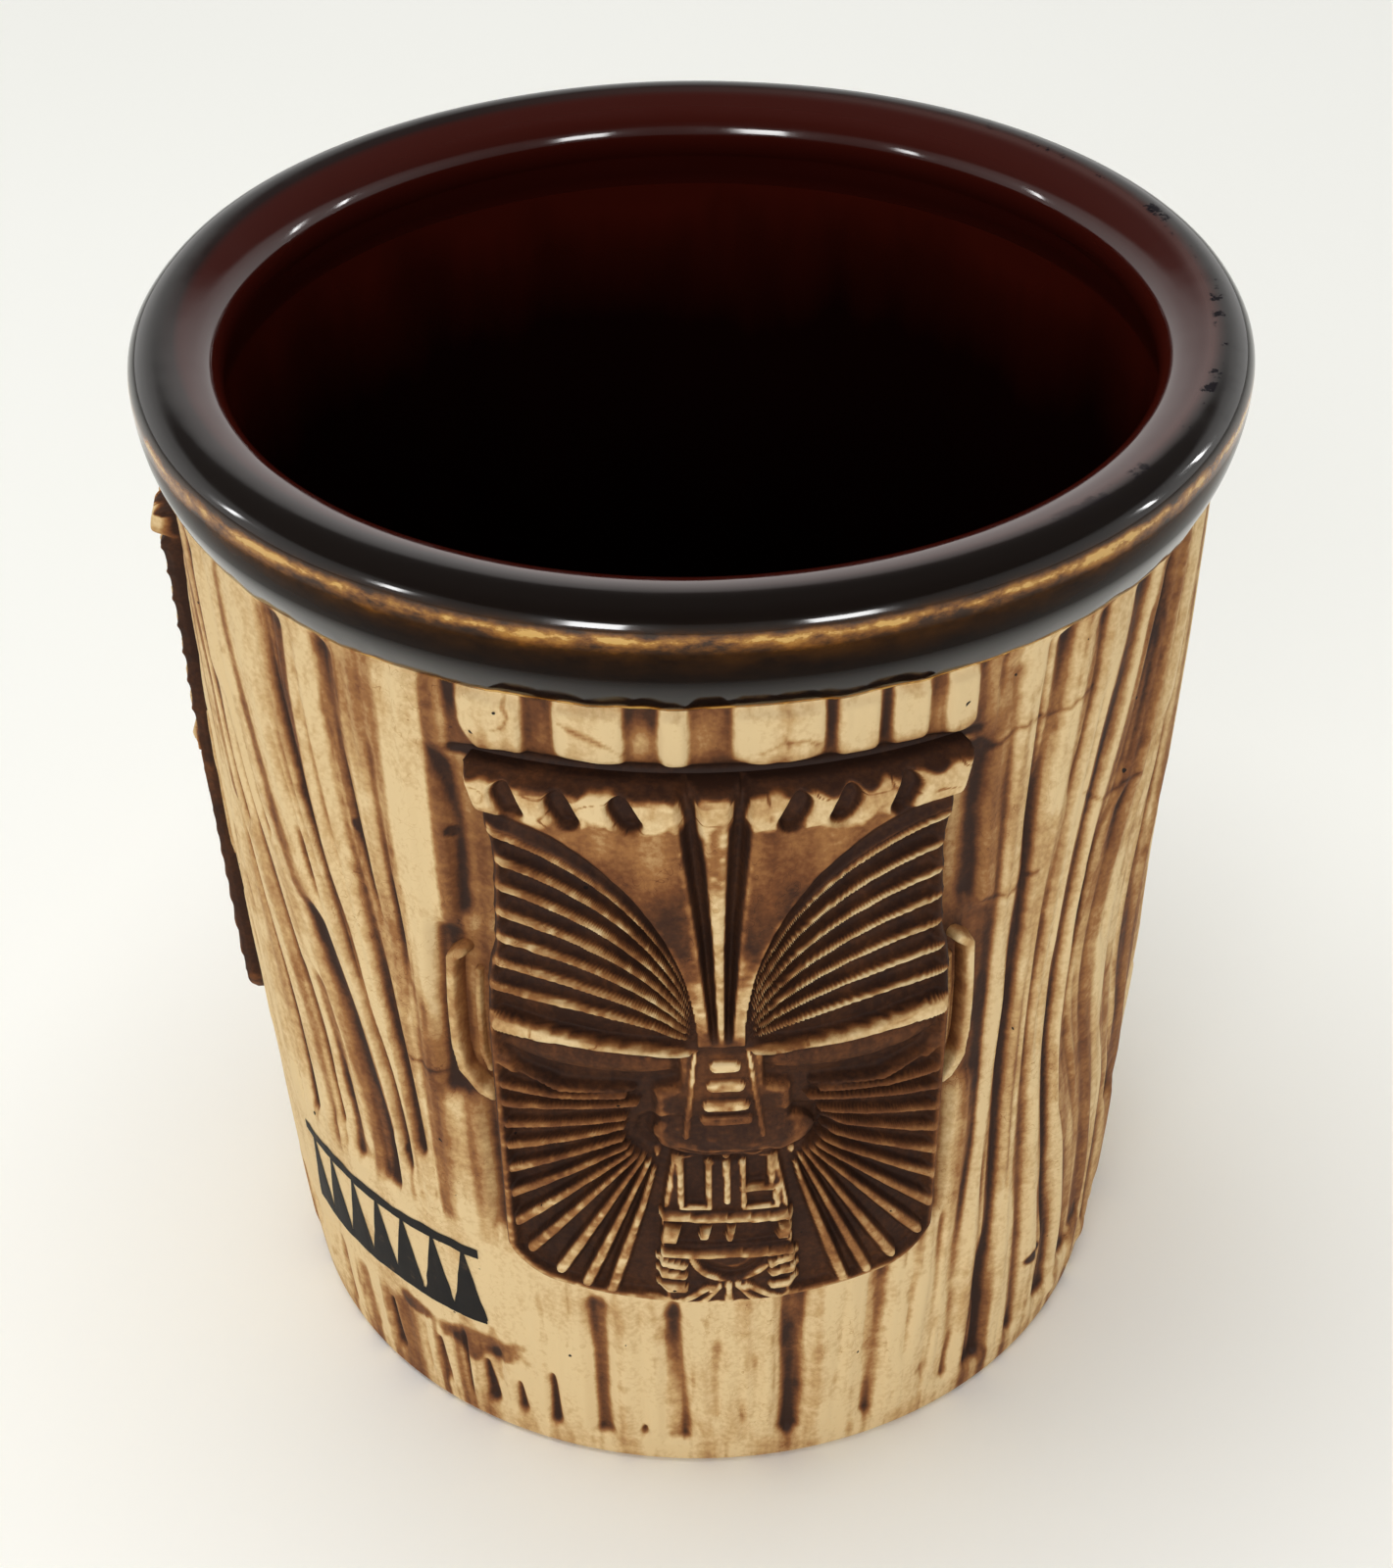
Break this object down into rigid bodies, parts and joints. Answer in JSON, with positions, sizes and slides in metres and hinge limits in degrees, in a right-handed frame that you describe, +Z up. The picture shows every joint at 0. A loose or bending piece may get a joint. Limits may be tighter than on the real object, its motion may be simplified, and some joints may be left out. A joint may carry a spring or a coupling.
{
  "type": "tiki mug",
  "caption": "Bucket-shaped stoneware mug with carved masks in relief round a wood-grained wall, a dark glazed lip and a glazed inside.",
  "frame": {"origin": "centre of the foot, on the table plane", "axes": "+Z up through the mouth; the first mask looks towards -Y, and +X is to the right of someone facing that mask"},
  "size_m": [0.09, 0.09, 0.096],
  "materials": {
    "stained_stoneware": "matt cream stoneware with a brown wash left in the carved grain",
    "stained_mask": "satin dark brown stain, worn back to cream on the high ridges",
    "liner_glaze": "glossy red-brown glaze, darker towards the floor",
    "rim_glaze": "glossy black-brown glaze that breaks to amber where it is thin",
    "black_paint": "matt black painted line"
  },
  "bodies": {
    "root": {"clay_body": "stained_stoneware", "liner_glaze": "liner_glaze", "rim_glaze": "rim_glaze", "mask_front": "stained_mask", "mask_right": "stained_mask", "mask_left": "stained_mask", "painted_border": "black_paint"}
  },
  "joints": []
}
